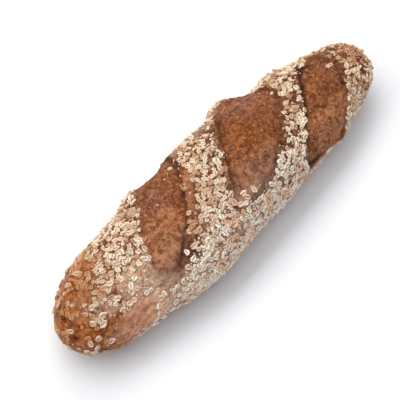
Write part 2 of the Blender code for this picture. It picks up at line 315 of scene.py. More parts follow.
# The dark edges of the slashes: partly burnt crust, and partly painted shade that deepens with the drop of
# the crumb beside them. How far inside the edge each is darkest, how wide it is, the drop that makes it
# fully dark, how dark it is at least, how much it varies, and in patches of what size
DARK_EDGE_INSIDE, DARK_EDGE_WIDTH, DROP_FOR_FULL_SHADE = mm(0.9, 1.3, 5)
DARK_EDGE_LEAST, DARK_EDGE_VARIES, DARK_EDGE_PATCHES = 0.35, 1.6, 9 * MM
# Painted shade in the cracks, which grows with their depth
CRACK_SHADE_BEGINS, CRACK_SHADE_FULL = mm(0.8, 2.0)  # the depths where a crack begins to look dark and is darkest

# Where pale strands of dough streak the crumb and lighten it: partly real, and partly painted light on the
# bulge of the first slash and on the low end of the third
STRANDS_AND_HIGHLIGHT = [
    soft_zone((-74, -62, -38, -26), (-28, -8, 28, 48), 1),
    soft_zone((48, 56, 90, 98), (22, 38, 90, 106), 1.05),
]

# The finish of the crust: how much of the crumb the rim behind the top crack covers, how smooth the bare
# lip is, how much less the smooth crust and the right end are browned, and how rough the crust is to light
RIM_COVERS_CRUMB = 0.7
SMOOTH_LIP = 0.35
SMOOTH_LESS_BROWNED = 0.55
RIGHT_LESS_BROWNED = soft_zone(onwards(60, 100), ANYWHERE, 0.6)
DULLNESS, CRUMB_DULLER, TOAST_GLOSSIER = 0.5, 0.32, 0.15
UNDERSIDE = (100, 135)  # the turns at which the paler underside begins and is full

# The form of a flake: an oval whose corners are turned and reach out unevenly, bent along its length. Its
# measures sideways are shares of its length or width, and upwards they are shares of its thickness.
CORNER_TURNS = 0.3  # radians, either way
CORNER_REACH = (0.74, 1.14)
FLAKE_BEND = (-0.5, 0.6)
FLAKE_WAVES = 0.2
# At each level, crease is how much the crease's painted shade darkens it: a little at the rim, most along
# the crease
FlakeLevel = namedtuple("FlakeLevel", "spread height crease")
FLAKE_LEVELS = [FlakeLevel(0.85, -0.7, 0.0), FlakeLevel(1.0, 0.4, 0.35), FlakeLevel(0.78, 0.95, 0.0)]
CREASE_REACH, CREASE_SWAYS, CREASE_HEIGHT = 0.26, 0.08, (0.35, 0.6)

# The wrinkles are packed closer round the loaf than along it
WRINKLE_PACKING = (1.0, 1.35, 1.35)

# The camera stands at the front left, high over the table. Its aim is shifted left and down in the picture.
CAMERA_TURN, CAMERA_RISE = -48, 62  # degrees
CAMERA_DISTANCE, CAMERA_NEAREST = 0.85, 0.01
CAMERA_LENS, CAMERA_SENSOR = 135.7, 36  # in millimetres, as the camera takes them
CAMERA_AIM = mm(-3.1, 0, 22)
AIM_LEFT, AIM_DOWN = mm(8.7, 3.9)
LIGHTS_AIM = mm(0, 0, 20)
FLOOR_REACH = 12.0


def step_up(start, end, value):
    """0 before start and 1 after end, with a smooth rise between them."""
    share = np.clip((value - start) / (end - start), 0, 1)
    return share * share * (3 - 2 * share)


def rise_and_fall(bounds, value):
    """1 between the inner two of four bounds, falling smoothly to 0 at the outer two."""
    begins, is_full, starts_to_fade, is_gone = bounds
    return step_up(begins, is_full, value) * (1 - step_up(starts_to_fade, is_gone, value))


def in_zone(zone, x, turn):
    """The zone's amount where the zone is full, fading to 0 outside it."""
    return zone.amount * rise_and_fall(zone.x, x) * rise_and_fall(zone.turn, turn)


def laid_by(zones, x, turn):
    """What the zones lay on a place, added up."""
    return sum(in_zone(zone, x, turn) for zone in zones)


def left_by(zones, x, turn):
    """The share that is left at a place, where each zone takes its amount away."""
    left = np.ones_like(x)
    for zone in zones:
        left *= 1 - in_zone(zone, x, turn)
    return left


def near_patch(patch, x, turn):
    """1 at the middle of the patch or hump, fading to 0 at its rim."""
    return step_up(-1, 0, -np.hypot(x - patch.x, (turn - patch.turn) * GIRTH_PER_DEGREE) / patch.spread)


def along_stations(field, x):
    """One measure of the stations as a smooth curve along the loaf."""
    knots = np.array([station.x for station in STATIONS])
    values = np.array([getattr(station, field) for station in STATIONS])
    slopes = np.gradient(values, knots)
    i = np.clip(np.searchsorted(knots, x) - 1, 0, len(knots) - 2)
    gap = knots[i + 1] - knots[i]
    t = (x - knots[i]) / gap
    start = (2 * t**3 - 3 * t**2 + 1) * values[i] + (t**3 - 2 * t**2 + t) * gap * slopes[i]
    end = (3 * t**2 - 2 * t**3) * values[i + 1] + (t**3 - t**2) * gap * slopes[i + 1]
    return start + end


def tip_rounding(x):
    """1 along the middle of the loaf, falling to 0 at its two tips."""
    reach = np.where(x < 0, LEFT_ROUNDING, RIGHT_ROUNDING)
    near = 1 - np.clip((LENGTH / 2 - np.abs(x)) / reach, 0, 1)
    return (1 - near**TIP_BLUNTNESS) ** (1 / TIP_BLUNTNESS)


def plain_skin(x, turn):
    """The places of the unslashed loaf, with the underside still round."""
    sine, cosine = np.sin(np.radians(turn)), np.cos(np.radians(turn))
    bluntness = np.where(cosine > 0, TOP_BLUNTNESS, UNDER_BLUNTNESS)
    round_section = (np.abs(sine) ** bluntness + np.abs(cosine) ** bluntness) ** (-1 / bluntness)
    out = tip_rounding(x) * round_section
    side = np.where(sine > 0, along_stations("front", x), along_stations("back", x))
    under = CORE_HEIGHT + BASE_CUT - TIP_LIFT * step_up(LENGTH / 4, LENGTH / 2, np.abs(x))
    rise = np.where(cosine > 0, along_stations("height", x) - CORE_HEIGHT, under)
    return np.stack([x, -side * out * sine, CORE_HEIGHT + rise * out * cosine], axis=-1)


def lumps(places, size):
    """Smooth noise at each place, about -0.5 to 0.5, with lumps of this size."""
    values = [noise.noise(Vector(place / size)) for place in places.reshape(-1, 3)]
    return np.array(values).reshape(places.shape[:-1])


def slash_depth(slash, x, turn):
    """How far inside the slash's edge a place is, and how far across it, from -1 at the left to 1."""
    middle = slash.x - slash.run * np.tanh((turn - slash.pivot) / slash.sweep)
    along = (2 * turn - slash.back - slash.front) / (slash.front - slash.back)
    half_width = slash.half_width * (1 + slash.flare * np.clip(along, -1, 1))
    across = (x - middle) / half_width
    power = SLASH_BLUNTNESS
    reach = (np.abs(along) ** power + np.abs(across) ** power) ** (1 / power)
    return (1 - reach) * half_width, np.clip(across, -1, 1)


def slash_relief(slash, x, turn, wobble):
    """How far a slash raises the skin: the opened crumb inside its edge, and the lips outside it."""
    inside, across = slash_depth(slash, x, turn)
    inside = inside + wobble
    left, right = (1 - across) / 2, (1 + across) / 2
    crumb = slash.swell * (1 - across**2) - slash.left_drop * left**2 - slash.right_drop * right**2
    lip = slash.left_lip * left + slash.right_lip * right
    outside = np.clip(-inside / LIP_REACH, 0, 1)
    opened = step_up(-SLASH_WALL / 2, SLASH_WALL / 2, inside)
    return opened * crumb + (1 - opened) * lip * (1 - outside) ** 2


def crack_share(crack, x, turn):
    """1 in the bottom of the crack, falling to 0 at its ends and sides."""
    girth = (crack.end_turn - crack.start_turn) * GIRTH_PER_DEGREE
    line = np.array([crack.end_x - crack.start_x, girth])
    dx, dt = x - crack.start_x, (turn - crack.start_turn) * GIRTH_PER_DEGREE
    share = np.clip((dx * line[0] + dt * line[1]) / (line @ line), 0, 1)
    away = np.hypot(dx - share * line[0], dt - share * line[1])
    return (4 * share * (1 - share)) ** CRACK_TAPER * np.clip(1 - away / CRACK_REACH, 0, 1)


def skin_places(rings, ring_points, fray):
    """The grid of the slashed loaf's skin, ring by ring from the left tip to the right one."""
    x = -LENGTH / 2 * np.cos(np.pi * np.arange(1, rings) / rings)
    x, turn = np.meshgrid(x, np.linspace(-180, 180, ring_points, endpoint=False), indexing="ij")
    places = plain_skin(x, turn)
    outward = np.cross(np.roll(places, -1, 1) - np.roll(places, 1, 1), np.gradient(places, axis=0))
    outward /= np.linalg.norm(outward, axis=-1, keepdims=True)
    relief = BROAD_HEIGHT * lumps(places, BROAD_LUMPS) + SMALL_HEIGHT * lumps(places, SMALL_LUMPS)
    wobble = EDGE_WOBBLE * lumps(places + LENGTH, SMALL_LUMPS)
    stray = 0
    if fray:
        ragged = lumps(places, FRAY_SIZE)
        wobble = wobble + EDGE_FRAY * ragged
        stray = CRACK_FRAY * ragged
    for slash in SLASHES:
        relief += slash_relief(slash, x, turn, wobble)
    for hump in HUMPS:
        relief += hump.height * near_patch(hump, x, turn)
    for crack in CRACKS:
        relief -= crack.depth * crack_share(crack, x + stray, turn + stray / GIRTH_PER_DEGREE)
    relief *= tip_rounding(x) ** RELIEF_FADE
    return places + outward * relief[..., None], x, turn, outward, wobble


def along_first_slash(band, x, turn):
    """1 in a band along the right edge of the first slash, and 0 outside it."""
    inside, across = slash_depth(FIRST_SLASH, x, turn)
    return (across > 0) * rise_and_fall(band.inside, inside) * rise_and_fall(band.turn, turn)


def crust_behind_crack(x, turn):
    """1 on the narrow rim of crust that stayed behind the crack at the top of the third slash."""
    share = np.clip((x - TOP_CRACK.start_x) / (TOP_CRACK.end_x - TOP_CRACK.start_x), 0, 1)
    line = TOP_CRACK.start_turn + share * (TOP_CRACK.end_turn - TOP_CRACK.start_turn)
    return step_up(RIM_BEGINS, RIM_IS_FULL, line - turn) * in_zone(RIM_BEHIND_CRACK, x, turn)


def flake_share(x, turn, stray=0):
    """How thickly the flakes lie at a place, from 0 to 1. Stray is how far they stray into the slashes."""
    share = np.ones_like(x)
    for slash in SLASHES:
        share *= 1 - step_up(*FLAKES_END, slash_depth(slash, x, turn)[0] - stray)
    share *= 1 - FLAKES_OFF_RIGHT_HALF * along_first_slash(RIGHT_HALF, x, turn)
    share *= left_by(FLAKES_OFF, x, turn)
    for patch in THIN_PATCHES:
        share *= 1 - patch.amount * near_patch(patch, x, turn)
    return share * rise_and_fall(FLAKE_TURNS, turn)


def small_flake_share(x, turn, ragged):
    """How thickly the smaller flakes lie at a place. Ragged, about -0.5 to 0.5, is how they stray."""
    share = flake_share(x, turn, STRAY + UNEVEN_STRAY * ragged)
    share = np.maximum(share, SMALL_OATS_ON_LIP * along_first_slash(BARE_LIP, x, turn))
    share = np.maximum(share, SMALL_OATS_ON_RIM * crust_behind_crack(x, turn))
    share = np.maximum(share, along_first_slash(OAT_ROW, x, turn))
    share = share * (1 - SMALL_OATS_OFF_BEHIND_ROW * along_first_slash(BEHIND_ROW, x, turn))
    share = share * (1 - TORN_LIP.amount * near_patch(TORN_LIP, x, turn))
    share = np.maximum(share, in_zone(SMALL_OATS_IN_SLASH, x, turn))
    share = share * left_by(SMALL_OATS_OFF, x, turn)
    share = np.maximum(share, SMALL_OATS_ON_TIP * in_zone(OATY_TIP, x, turn))
    for patch in OAT_PATCHES:
        change = patch.amount * near_patch(patch, x, turn)
        share = np.maximum(share * np.minimum(1 + change, 1), change)
    return share


def large_flake_places():
    """Chooses the large flakes' places one by one, each where flakes lie and clear of those before it."""
    places, x, turn, outward, _ = skin_places(*COARSE_SKIN, fray=False)
    rng = np.random.default_rng(FLAKE_SEED)
    sides = np.roll(places, -1, 1) - places
    steps = np.gradient(places, axis=0)
    area = np.linalg.norm(np.cross(sides, steps), axis=-1)
    weight = (area * flake_share(x, turn) * (places[..., 2] > FLAKE_FLOOR)).ravel()
    order = rng.choice(weight.size, size=FLAKE_DRAWS, replace=False, p=weight / weight.sum())
    chosen = []
    spots, normals = places.reshape(-1, 3), outward.reshape(-1, 3)
    for i in order:
        if len(chosen) == LARGE_FLAKES:
            break
        if all(np.linalg.norm(spots[i] - spots[j]) > FLAKE_SPACING for j in chosen):
            chosen.append(i)
    return spots[chosen], normals[chosen], x.ravel()[chosen], turn.ravel()[chosen]


def slash_marks(x, turn, wobble, patchy):
    """How far open the crust is, and how dark its edges and cracks are with burns and painted shade, 0 to 1.
    """
    opened, burnt_edge_and_shade = np.zeros_like(x), np.zeros_like(x)
    for slash in SLASHES:
        inside, across = slash_depth(slash, x, turn)
        inside = inside + wobble
        opened = np.maximum(opened, step_up(-SLASH_WALL / 2, SLASH_WALL / 2, inside))
        # Painted shade, deeper where the crumb drops further beside the edge, over some real burnt crust
        drop = np.where(across > 0, slash.right_drop, slash.left_drop) / DROP_FOR_FULL_SHADE
        burnt_edge_and_shade = np.maximum(burnt_edge_and_shade, drop * np.exp(-(((inside - DARK_EDGE_INSIDE) / DARK_EDGE_WIDTH) ** 2)))
    burnt_edge_and_shade = burnt_edge_and_shade * (DARK_EDGE_LEAST + DARK_EDGE_VARIES * patchy)
    for crack in CRACKS:
        # Painted shade in each crack, growing with its depth
        crack_shade = (crack.depth - CRACK_SHADE_BEGINS) / (CRACK_SHADE_FULL - CRACK_SHADE_BEGINS)
        burnt_edge_and_shade = np.maximum(burnt_edge_and_shade, crack_shade * crack_share(crack, x, turn))
    return opened, np.clip(burnt_edge_and_shade, 0, 1)


def flour_share(x, turn, opened):
    """How much flour lies at a place: most beside the first slash, least on the left tip."""
    crust = laid_by(FLOURED, x, turn) * left_by(FLOUR_OFF, x, turn) * (1 - near_patch(TORN_LIP, x, turn))
    crust = crust + FLOUR_ON_OATY_TIP * in_zone(OATY_TIP, x, turn)
    crust = crust * (1 - along_first_slash(BARE_LIP, x, turn))
    crust = crust * (1 - FLOUR_OFF_STRIP * in_zone(BARE_STRIP, x, turn))
    crumb = laid_by(FLOURED_SLASHES, x, turn) * left_by(FLOUR_OFF_SLASHES, x, turn)
    crumb = crumb + in_zone(FLOURED_SLASH_END, x, turn)
    return np.clip((1 - opened) * crust + opened * crumb, 0, 1)


def toast_share(x, turn):
    """How hard the oven caught a place."""
    left = rise_and_fall(BROWNED_LEFT, x - BROWNED_FURTHER * rise_and_fall(FURTHER_TURNS, turn))
    left = left * (1 + BROWNED_HARDER * rise_and_fall(HARDER_TURNS, turn))
    left = left * (1 - OATY_TIP_PALER * in_zone(OATY_TIP, x, turn))
    beside = TOASTED_RIGHT_HALF * along_first_slash(RIGHT_HALF, x, turn)
    return np.clip(left + laid_by(TOASTED, x, turn) + beside, 0, MOST_TOAST)


def pale_share(x, turn):
    """How pale and floury the flakes are at a place."""
    pale = laid_by(PALE_FLAKES, x, turn) * left_by(LESS_PALE, x, turn)
    return np.clip(pale * (1 - LESS_PALE_RIGHT_HALF * along_first_slash(RIGHT_HALF, x, turn)), 0, 1)


def bake_and_shade_depth(x, turn):
    """How dark and rich the open crumb is at a place: 0.5 in general, less where it is paler and greyer."""
    # The patches lay a deeper or paler bake, and also painted shade and a painted reflection
    depth = np.zeros_like(x)
    for patch in BAKE_AND_SHADE_PATCHES:
        depth += patch.amount * near_patch(patch, x, turn)
    return np.clip((1 + depth) / 2, 0, 1)


def add_values(mesh, name, values):
    """Stores one value on each point of the mesh."""
    attribute = mesh.attributes.new(name, "FLOAT", "POINT")
    attribute.data.foreach_set("value", np.asarray(values, np.float32).ravel())


def mesh_object(name, points, faces):
    """A new object in the scene with this mesh."""
    mesh = bpy.data.meshes.new(name)
    mesh.from_pydata([tuple(point) for point in points], [], faces)
    obj = bpy.data.objects.new(name, mesh)
    bpy.context.scene.collection.objects.link(obj)
    return obj


def closed_mesh(name, places):
    """A closed mesh from the grid of places, with each end ring gathered into its tip."""
    rings, count = places.shape[:2]
    ring, i = np.meshgrid(np.arange(rings - 1), np.arange(count), indexing="ij")
    j = (i + 1) % count
    here, there = ring * count, (ring + 1) * count
    faces = np.stack([here + i, here + j, there + j, there + i], axis=-1).reshape(-1, 4).tolist()
    left_tip, right_tip = rings * count, rings * count + 1
    last = (rings - 1) * count
    for k in range(count):
        following = (k + 1) % count
        faces.append((left_tip, following, k))
        faces.append((right_tip, last + k, last + following))
    tips = [(-LENGTH / 2, 0, CORE_HEIGHT), (LENGTH / 2, 0, CORE_HEIGHT)]
    return mesh_object(name, list(places.reshape(-1, 3)) + tips, faces)


def fine_skin():
    """The visible skin as one closed mesh, with what its materials read stored on its points."""
    places, x, turn, _, wobble = skin_places(*FINE_SKIN, fray=True)
    places[..., 2] = np.maximum(places[..., 2], 0)
    skin = closed_mesh("crust", places)
    opened, burnt_edge_and_shade = slash_marks(x, turn, wobble, 0.5 + lumps(places, DARK_EDGE_PATCHES))
    opened = opened * (1 - RIM_COVERS_CRUMB * crust_behind_crack(x, turn))
    flour, toast = flour_share(x, turn, opened), toast_share(x, turn)
    smooth_lip = SMOOTH_LIP * along_first_slash(BARE_LIP, x, turn)
    smooth = np.maximum(smooth_lip, in_zone(SMOOTH_STRIP, x, turn))
    browned = toast * (1 - SMOOTH_LESS_BROWNED * smooth) * (1 - in_zone(RIGHT_LESS_BROWNED, x, turn))
    share = small_flake_share(x, turn, lumps(places, FRAY_SIZE)) * (places[..., 2] > FLAKE_FLOOR)
    # The dark edges, the bake patches and the pale streaks stored here carry painted shade, a painted
    # reflection and painted light
    for name, values in (
        ("opened", opened),
        ("burnt_edge_and_shade", burnt_edge_and_shade),
        ("flour", flour),
        ("toast", toast),
        ("browned_tip", browned),
        ("pale", pale_share(x, turn)),
        ("bake_and_shade", bake_and_shade_depth(x, turn)),
        ("strands_and_highlight", laid_by(STRANDS_AND_HIGHLIGHT, x, turn)),
        ("smooth_crust", smooth),
        ("dull", DULLNESS + CRUMB_DULLER * np.clip(opened + flour, 0, 1) - TOAST_GLOSSIER * toast),
        ("flake_share", np.maximum(share, STRAY_FLAKES * (np.abs(turn) < STRAY_TURN))),
        ("underside", step_up(*UNDERSIDE, np.abs(turn))),
    ):
        add_values(skin.data, name, np.append(values.ravel(), (values[0].mean(), values[-1].mean())))
    return skin


def linear(hex_colour):
    """The linear colour of an sRGB hex value."""
    parts = [int(hex_colour[i : i + 2], 16) / 255 for i in (1, 3, 5)]
    return tuple(c / 12.92 if c <= 0.04045 else ((c + 0.055) / 1.055) ** 2.4 for c in parts) + (1.0,)


def add_node(tree, kind, inputs=(), **settings):
    """Adds a node. Each input is named or numbered, and takes a value or the socket that feeds it."""
    node = tree.nodes.new(kind)
    for name, value in settings.items():
        setattr(node, name, value)
    for key, value in dict(inputs).items():
        if isinstance(value, bpy.types.NodeSocket):
            tree.links.new(value, node.inputs[key])
        else:
            node.inputs[key].default_value = value
    return node


def new_geometry_tree(name, inputs):
    """An empty geometry tree with these named inputs: name, socket type and value."""
    tree = bpy.data.node_groups.new(name, "GeometryNodeTree")
    tree.interface.new_socket("Geometry", in_out="INPUT", socket_type="NodeSocketGeometry")
    tree.interface.new_socket("Geometry", in_out="OUTPUT", socket_type="NodeSocketGeometry")
    for input_name, socket_type, value in inputs:
        socket = tree.interface.new_socket(input_name, in_out="INPUT", socket_type=socket_type)
        if value is not None:
            socket.default_value = value
    return tree, tree.nodes.new("NodeGroupInput").outputs


def grow(obj, tree, inputs):
    """Runs a geometry tree on the object, and keeps its result as the object's plain mesh."""
    modifier = obj.modifiers.new(tree.name, "NODES")
    modifier.node_group = tree
    for socket in tree.interface.items_tree:
        if socket.item_type == "SOCKET" and socket.in_out == "INPUT" and socket.name in inputs:
            modifier[socket.identifier] = inputs[socket.name]
    graph = bpy.context.evaluated_depsgraph_get()
    mesh = bpy.data.meshes.new_from_object(obj.evaluated_get(graph))
    obj.modifiers.clear()
    obj.data = mesh
    return obj


def fine_relief_tree():
    """Raises the skin by its fine relief: pores and wrinkles on the open crumb, blisters on the crust."""
    tree, given = new_geometry_tree(
        "fine_relief",
        (
            ("Wrinkle size", "NodeSocketFloat", 2.6 * MM),
            ("Wrinkle height", "NodeSocketFloat", 0.5 * MM),
            ("Blister size", "NodeSocketFloat", 3.6 * MM),
            ("Blister height", "NodeSocketFloat", 0.35 * MM),
            ("Crust", "NodeSocketMaterial", None),
        ),
    )
    position = add_node(tree, "GeometryNodeInputPosition").outputs[0]
    packed = add_node(
        tree, "ShaderNodeVectorMath", {0: position, 1: WRINKLE_PACKING}, operation="MULTIPLY"
    )
    heights = []
    for size, height, places, seed in (
        ("Wrinkle size", "Wrinkle height", packed.outputs[0], 3.1),
        ("Blister size", "Blister height", position, 8.7),
    ):
        scale = add_node(tree, "ShaderNodeMath", {0: 1.0, 1: given[size]}, operation="DIVIDE")
        bumps = add_node(
            tree,
            "ShaderNodeTexNoise",
            {"Vector": places, "W": seed, "Scale": scale.outputs[0], "Detail": 2.5, "Roughness": 0.6},
            noise_dimensions="4D",
        )
        level = add_node(tree, "ShaderNodeMath", {0: bumps.outputs[0], 1: 0.5}, operation="SUBTRACT")
        raised = add_node(
            tree, "ShaderNodeMath", {0: level.outputs[0], 1: given[height]}, operation="MULTIPLY"
        )
        heights.append(raised.outputs[0])
    wrinkles, blisters = heights
    opened, underside = (
        add_node(tree, "GeometryNodeInputNamedAttribute", {"Name": name}, data_type="FLOAT").outputs[0]
        for name in ("opened", "underside")
    )
    relief = add_node(tree, "ShaderNodeMix", {0: opened, 2: blisters, 3: wrinkles})
    relief = add_node(tree, "ShaderNodeMix", {0: underside, 2: relief.outputs[0], 3: 0.0})
    normal = add_node(tree, "GeometryNodeInputNormal").outputs[0]
    offset = add_node(
        tree, "ShaderNodeVectorMath", {0: normal, "Scale": relief.outputs[0]}, operation="SCALE"
    )
    moved = add_node(
        tree, "GeometryNodeSetPosition", {"Geometry": given["Geometry"], "Offset": offset.outputs[0]}
    )
    smooth = add_node(tree, "GeometryNodeSetShadeSmooth", {"Geometry": moved.outputs[0]})
    dressed = add_node(
        tree, "GeometryNodeSetMaterial", {"Geometry": smooth.outputs[0], "Material": given["Crust"]}
    )
    add_node(tree, "NodeGroupOutput", {0: dressed.outputs[0]})
    return tree


def scatter_tree():
    """Lays flakes on the skin: the large ones on their chosen places, and the rest spread between them."""
    tree, given = new_geometry_tree(
        "flake_scatter",
        (
            ("Shapes", "NodeSocketCollection", None),
            ("Chosen places", "NodeSocketObject", None),
            ("Least gap", "NodeSocketFloat", 2.6 * MM),
            ("Most per square metre", "NodeSocketFloat", 500000.0),
            ("Clear of chosen", "NodeSocketFloat", 2.0 * MM),
            ("Smallest", "NodeSocketFloat", 0.5),
            ("Largest", "NodeSocketFloat", 1.0),
            ("Chosen smallest", "NodeSocketFloat", 0.72),
            ("Chosen largest", "NodeSocketFloat", 1.1),
            ("Lean", "NodeSocketFloat", 0.45),
            ("Seed", "NodeSocketInt", 5),
            ("Flake", "NodeSocketMaterial", None),
        ),
    )
    share = add_node(tree, "GeometryNodeInputNamedAttribute", {"Name": "flake_share"}, data_type="FLOAT")
    spread = add_node(
        tree,
        "GeometryNodeDistributePointsOnFaces",
        {
            "Mesh": given["Geometry"],
            "Distance Min": given["Least gap"],
            "Density Max": given["Most per square metre"],
            "Density Factor": share.outputs["Attribute"],
            "Seed": given["Seed"],
        },
        distribute_method="POISSON",
    )
    spread = add_node(
        tree,
        "GeometryNodeStoreNamedAttribute",
        {"Geometry": spread.outputs["Points"], "Name": "outward", "Value": spread.outputs["Normal"]},
        data_type="FLOAT_VECTOR",
        domain="POINT",
    )
    info = add_node(tree, "GeometryNodeObjectInfo", {"Object": given["Chosen places"]})
    chosen = info.outputs["Geometry"]
    near = add_node(tree, "GeometryNodeProximity", {0: chosen}, target_element="POINTS").outputs["Distance"]
    covered = add_node(
        tree, "FunctionNodeCompare", {0: near, 1: given["Clear of chosen"]}, operation="LESS_THAN"
    )
    between_them = add_node(
        tree, "GeometryNodeDeleteGeometry", {"Geometry": spread.outputs[0], "Selection": covered.outputs[0]}
    )
    outward = add_node(
        tree, "GeometryNodeInputNamedAttribute", {"Name": "outward"}, data_type="FLOAT_VECTOR"
    )
    facing = add_node(
        tree, "FunctionNodeAlignRotationToVector", {"Vector": outward.outputs["Attribute"]}, axis="Z"
    )
    lean = given["Lean"]
    lean_back = add_node(tree, "ShaderNodeMath", {0: lean, 1: -1.0}, operation="MULTIPLY").outputs[0]
    least = add_node(tree, "ShaderNodeCombineXYZ", {"X": lean_back, "Y": lean_back, "Z": 0.0})
    most = add_node(tree, "ShaderNodeCombineXYZ", {"X": lean, "Y": lean, "Z": 2 * math.pi})
    shapes = add_node(
        tree,
        "GeometryNodeCollectionInfo",
        {"Collection": given["Shapes"], "Separate Children": True, "Reset Children": True},
    )
    joined = add_node(tree, "GeometryNodeJoinGeometry")
    for points, low, high, seed in (
        (between_them.outputs[0], given["Smallest"], given["Largest"], 11),
        (chosen, given["Chosen smallest"], given["Chosen largest"], 12),
    ):
        turned = add_node(
            tree,
            "FunctionNodeRandomValue",
            {0: least.outputs[0], 1: most.outputs[0], "Seed": seed},
            data_type="FLOAT_VECTOR",
        )
        turned = add_node(tree, "FunctionNodeEulerToRotation", {"Euler": turned.outputs[0]})
        rotation = add_node(
            tree,
            "FunctionNodeRotateRotation",
            {"Rotation": facing.outputs[0], "Rotate By": turned.outputs[0]},
            rotation_space="LOCAL",
        )
        size = add_node(
            tree, "FunctionNodeRandomValue", {2: low, 3: high, "Seed": seed + 10}, data_type="FLOAT"
        )
        laid = add_node(
            tree,
            "GeometryNodeInstanceOnPoints",
            {
                "Points": points,
                "Instance": shapes.outputs[0],
                "Pick Instance": True,
                "Rotation": rotation.outputs[0],
                "Scale": size.outputs[1],
            },
        )
        tint = add_node(
            tree, "FunctionNodeRandomValue", {2: 0.0, 3: 1.0, "Seed": seed + 20}, data_type="FLOAT"
        )
        tinted = add_node(
            tree,
            "GeometryNodeStoreNamedAttribute",
            {"Geometry": laid.outputs[0], "Name": "tint", "Value": tint.outputs[1]},
            data_type="FLOAT",
            domain="INSTANCE",
        )
        tree.links.new(tinted.outputs[0], joined.inputs[0])
    real = add_node(tree, "GeometryNodeRealizeInstances", {0: joined.outputs[0]})
    dressed = add_node(
        tree, "GeometryNodeSetMaterial", {"Geometry": real.outputs[0], "Material": given["Flake"]}
    )
    add_node(tree, "NodeGroupOutput", {0: dressed.outputs[0]})
    return tree


def flake_shape(name, rng, size, corners):
    """One rolled flake: an uneven, bent oval with a crease along its middle, rooted just below Z = 0."""
    length, width, thickness = size
    angles = np.linspace(0, 2 * np.pi, corners, endpoint=False)
    angles = angles + rng.uniform(-CORNER_TURNS, CORNER_TURNS, corners)
    reach = rng.uniform(*CORNER_REACH, corners)
    ragged = np.stack([np.cos(angles) * reach * length / 2, np.sin(angles) * reach * width / 2], axis=-1)
    bend = rng.uniform(*FLAKE_BEND)
    points = []
    for level in FLAKE_LEVELS:
        for px, py in ragged * level.spread:
            height = level.height + bend * (2 * px / length) ** 2 + rng.uniform(-FLAKE_WAVES, FLAKE_WAVES)
            points.append((px, py, height * thickness))
    for end in (-1, 1):
        sway = rng.uniform(-CREASE_SWAYS, CREASE_SWAYS) * width
        points.append((end * CREASE_REACH * length, sway, rng.uniform(*CREASE_HEIGHT) * thickness))
    faces = [tuple(range(corners))[::-1]]
    for start in (0, corners):
        for k in range(corners):
            following = (k + 1) % corners
            faces.append((start + k, start + following, start + corners + following, start + corners + k))
    crease_end = [3 * corners + (np.cos(angle) > 0) for angle in angles]
    for k in range(corners):
        following = (k + 1) % corners
        around = (2 * corners + k, 2 * corners + following, crease_end[following], crease_end[k])
        faces.append(tuple(dict.fromkeys(int(corner) for corner in around)))
    flake = mesh_object(name, points, faces)
    # Darker round the rim and most along the crease: partly the oat's own seam, partly painted shade in the
    # groove
    creases = [level.crease for level in FLAKE_LEVELS for _ in range(corners)]
    add_values(flake.data, "crease", creases + [1.0, 1.0])
    return flake


def flake_shapes(name, kinds, seed, size, corners):
    """A collection of flakes of different shapes, for the scatter to pick from."""
    rng = np.random.default_rng(seed)
    shapes = bpy.data.collections.new(name)
    bpy.context.scene.collection.children.link(shapes)
    for number in range(kinds):
        shape = flake_shape(f"{name}_{number}", rng, size, corners)
        bpy.context.scene.collection.objects.unlink(shape)
        shapes.objects.link(shape)
    return shapes


def remove_all(collection):
    """Removes the collection with the objects in it."""
    for obj in list(collection.objects):
        bpy.data.objects.remove(obj)
    bpy.data.collections.remove(collection)


def new_material(name):
    """A new material, its node tree and the shader in it."""
    material = bpy.data.materials.new(name)
    material.use_nodes = True
    tree = material.node_tree
    return material, tree, tree.nodes["Principled BSDF"]


# A noise pattern, as large as the real grain that it stands for
Noise = namedtuple("Noise", "name size seed detail roughness")

# Colours are laid one over another. Where the pattern passes from low to high, the colour under gives way
# to the colour over, as far as the strength. A colour is a hex value or the name of an earlier layer.
Layer = namedtuple("Layer", "name under pattern low high strength over")


def lay_colours(tree, patterns, layers):
    """Builds the layers and gives the socket of the last one. Patterns are sockets, by name."""
    laid = {}
    for layer in layers:
        share = add_node(
            tree,
            "ShaderNodeMapRange",
            {0: patterns[layer.pattern], 1: layer.low, 2: layer.high, 3: 0.0, 4: layer.strength},
        )
        colours = (layer.under, layer.over)
        under, over = (laid[colour] if colour in laid else linear(colour) for colour in colours)
        mixed = add_node(tree, "ShaderNodeMix", {0: share.outputs[0], 6: under, 7: over}, data_type="RGBA")
        laid[layer.name] = mixed.outputs[2]
    return mixed.outputs[2]


def find_patterns(tree, noises, attributes):
    """The patterns that the colours follow, by name: noises, and attributes stored on the mesh."""
    place = add_node(tree, "ShaderNodeTexCoord").outputs["Object"]
    patterns = {}
    for grain in noises:
        inputs = {"Vector": place, "W": grain.seed, "Scale": 1 / grain.size}
        inputs.update({"Detail": grain.detail, "Roughness": grain.roughness})
        pattern = add_node(tree, "ShaderNodeTexNoise", inputs, noise_dimensions="4D")
        patterns[grain.name] = pattern.outputs[0]
    for name in attributes:
        patterns[name] = add_node(tree, "ShaderNodeAttribute", attribute_name=name).outputs["Fac"]
    return patterns


